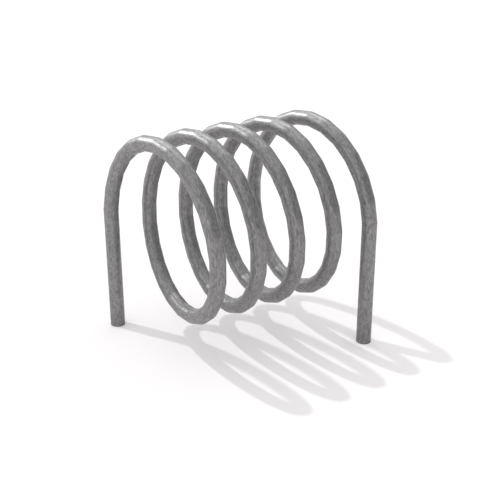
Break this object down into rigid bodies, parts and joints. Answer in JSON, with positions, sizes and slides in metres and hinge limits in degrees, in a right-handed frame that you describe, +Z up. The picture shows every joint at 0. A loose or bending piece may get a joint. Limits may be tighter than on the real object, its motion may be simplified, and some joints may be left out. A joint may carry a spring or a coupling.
{
  "type": "bike rack",
  "caption": "Coil bike rack of galvanised steel pipe: standing loops in a row between two legs that are set in the ground, with room for a bicycle wheel between loops.",
  "frame": {"origin": "at ground level, midway between the two legs and under the middle of the coil's axis", "axes": "+Z up, +X along the coil's axis from the left leg to the right leg, +Y to the far side, where the left leg stands"},
  "size_m": [0.8359, 0.7476, 1.144],
  "materials": {
    "pipe": "hot-dip galvanised, dull and mottled",
    "weld": "dressed weld under the same zinc, a little duller",
    "sleeve": "plain tube under the same zinc"
  },
  "bodies": {
    "root": {"left_leg": "pipe", "left_arch": "pipe", "loop_1": "pipe", "loop_2": "pipe", "loop_3": "pipe", "right_arch": "pipe", "right_leg": "pipe", "left_leg_weld": "weld", "splice_1_weld": "weld", "splice_2_weld": "weld", "splice_3_weld": "weld", "splice_4_weld": "weld", "right_leg_weld": "weld", "left_leg_sleeve": "sleeve", "splice_1_sleeve": "sleeve", "splice_2_sleeve": "sleeve", "splice_3_sleeve": "sleeve", "splice_4_sleeve": "sleeve", "right_leg_sleeve": "sleeve"}
  },
  "joints": []
}
